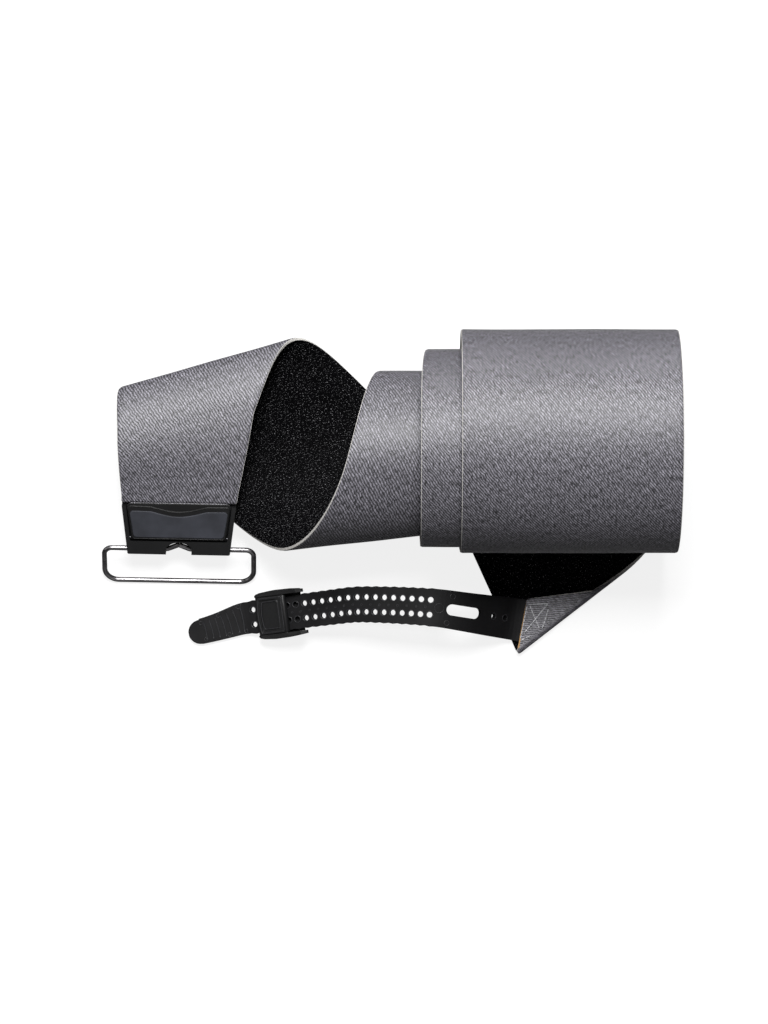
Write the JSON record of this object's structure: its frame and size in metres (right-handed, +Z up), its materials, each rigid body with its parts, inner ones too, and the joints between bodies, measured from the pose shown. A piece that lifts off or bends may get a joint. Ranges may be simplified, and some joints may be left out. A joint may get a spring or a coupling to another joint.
{
  "type": "climbing skin",
  "caption": "Plush climbing skin rolled for storage, with a hinged tip clip and wire bail and a rubber tail strap with a sliding lever buckle.",
  "frame": {"origin": "on the ground, under the middle of the whole laid-out part", "axes": "+X along the axis of the roll, away from the tip clip; +Y to the back of the roll; +Z up"},
  "size_m": [0.3624, 0.2042, 0.1395],
  "materials": {
    "plush": "twill-like short pile, soft sheen",
    "adhesive": "tacky black coat with fine sparkle",
    "base_plastic": "fine moulded grain",
    "lid_plastic": "satin",
    "chrome_wire": "polished",
    "pin_steel": "brushed",
    "strap_rubber": "matt moulded rubber",
    "thread": "twisted thread",
    "buckle_plastic": "satin moulded"
  },
  "bodies": {
    "root": {"skin_plush": "plush", "adhesive_coat": "adhesive", "clip_base": "base_plastic", "lid_pin": "pin_steel", "tip_rivets": "pin_steel", "tail_strap": "strap_rubber", "strap_stitching": "thread"},
    "lid": {"clip_lid": "lid_plastic"},
    "bail": {"bail_wire": "chrome_wire"},
    "buckle": {"buckle_frame": "buckle_plastic", "lever_pin": "pin_steel"},
    "lever": {"buckle_lever": "buckle_plastic"}
  },
  "joints": [
    {"name": "lid_open", "type": "hinge", "parent": "root", "child": "lid", "pos_m": [-0.13178, -0.0278, 0.02361], "axis": [0.9998, -0.0192, 0], "range_deg": [0, 90]},
    {"name": "bail_swing", "type": "hinge", "parent": "root", "child": "bail", "pos_m": [-0.13191, -0.0348, 0.01797], "axis": [-0.9998, 0.0192, 0], "range_deg": [0, 115]},
    {"name": "buckle_slide", "type": "slide", "parent": "root", "child": "buckle", "axis": [0.9394, 0.1253, 0.319], "range_m": [-0.003, 0.025]},
    {"name": "lever_open", "type": "hinge", "parent": "buckle", "child": "lever", "pos_m": [-0.065, -0.07575, 0.0145], "axis": [-0.1323, 0.9912, 0], "range_deg": [0, 90]}
  ]
}
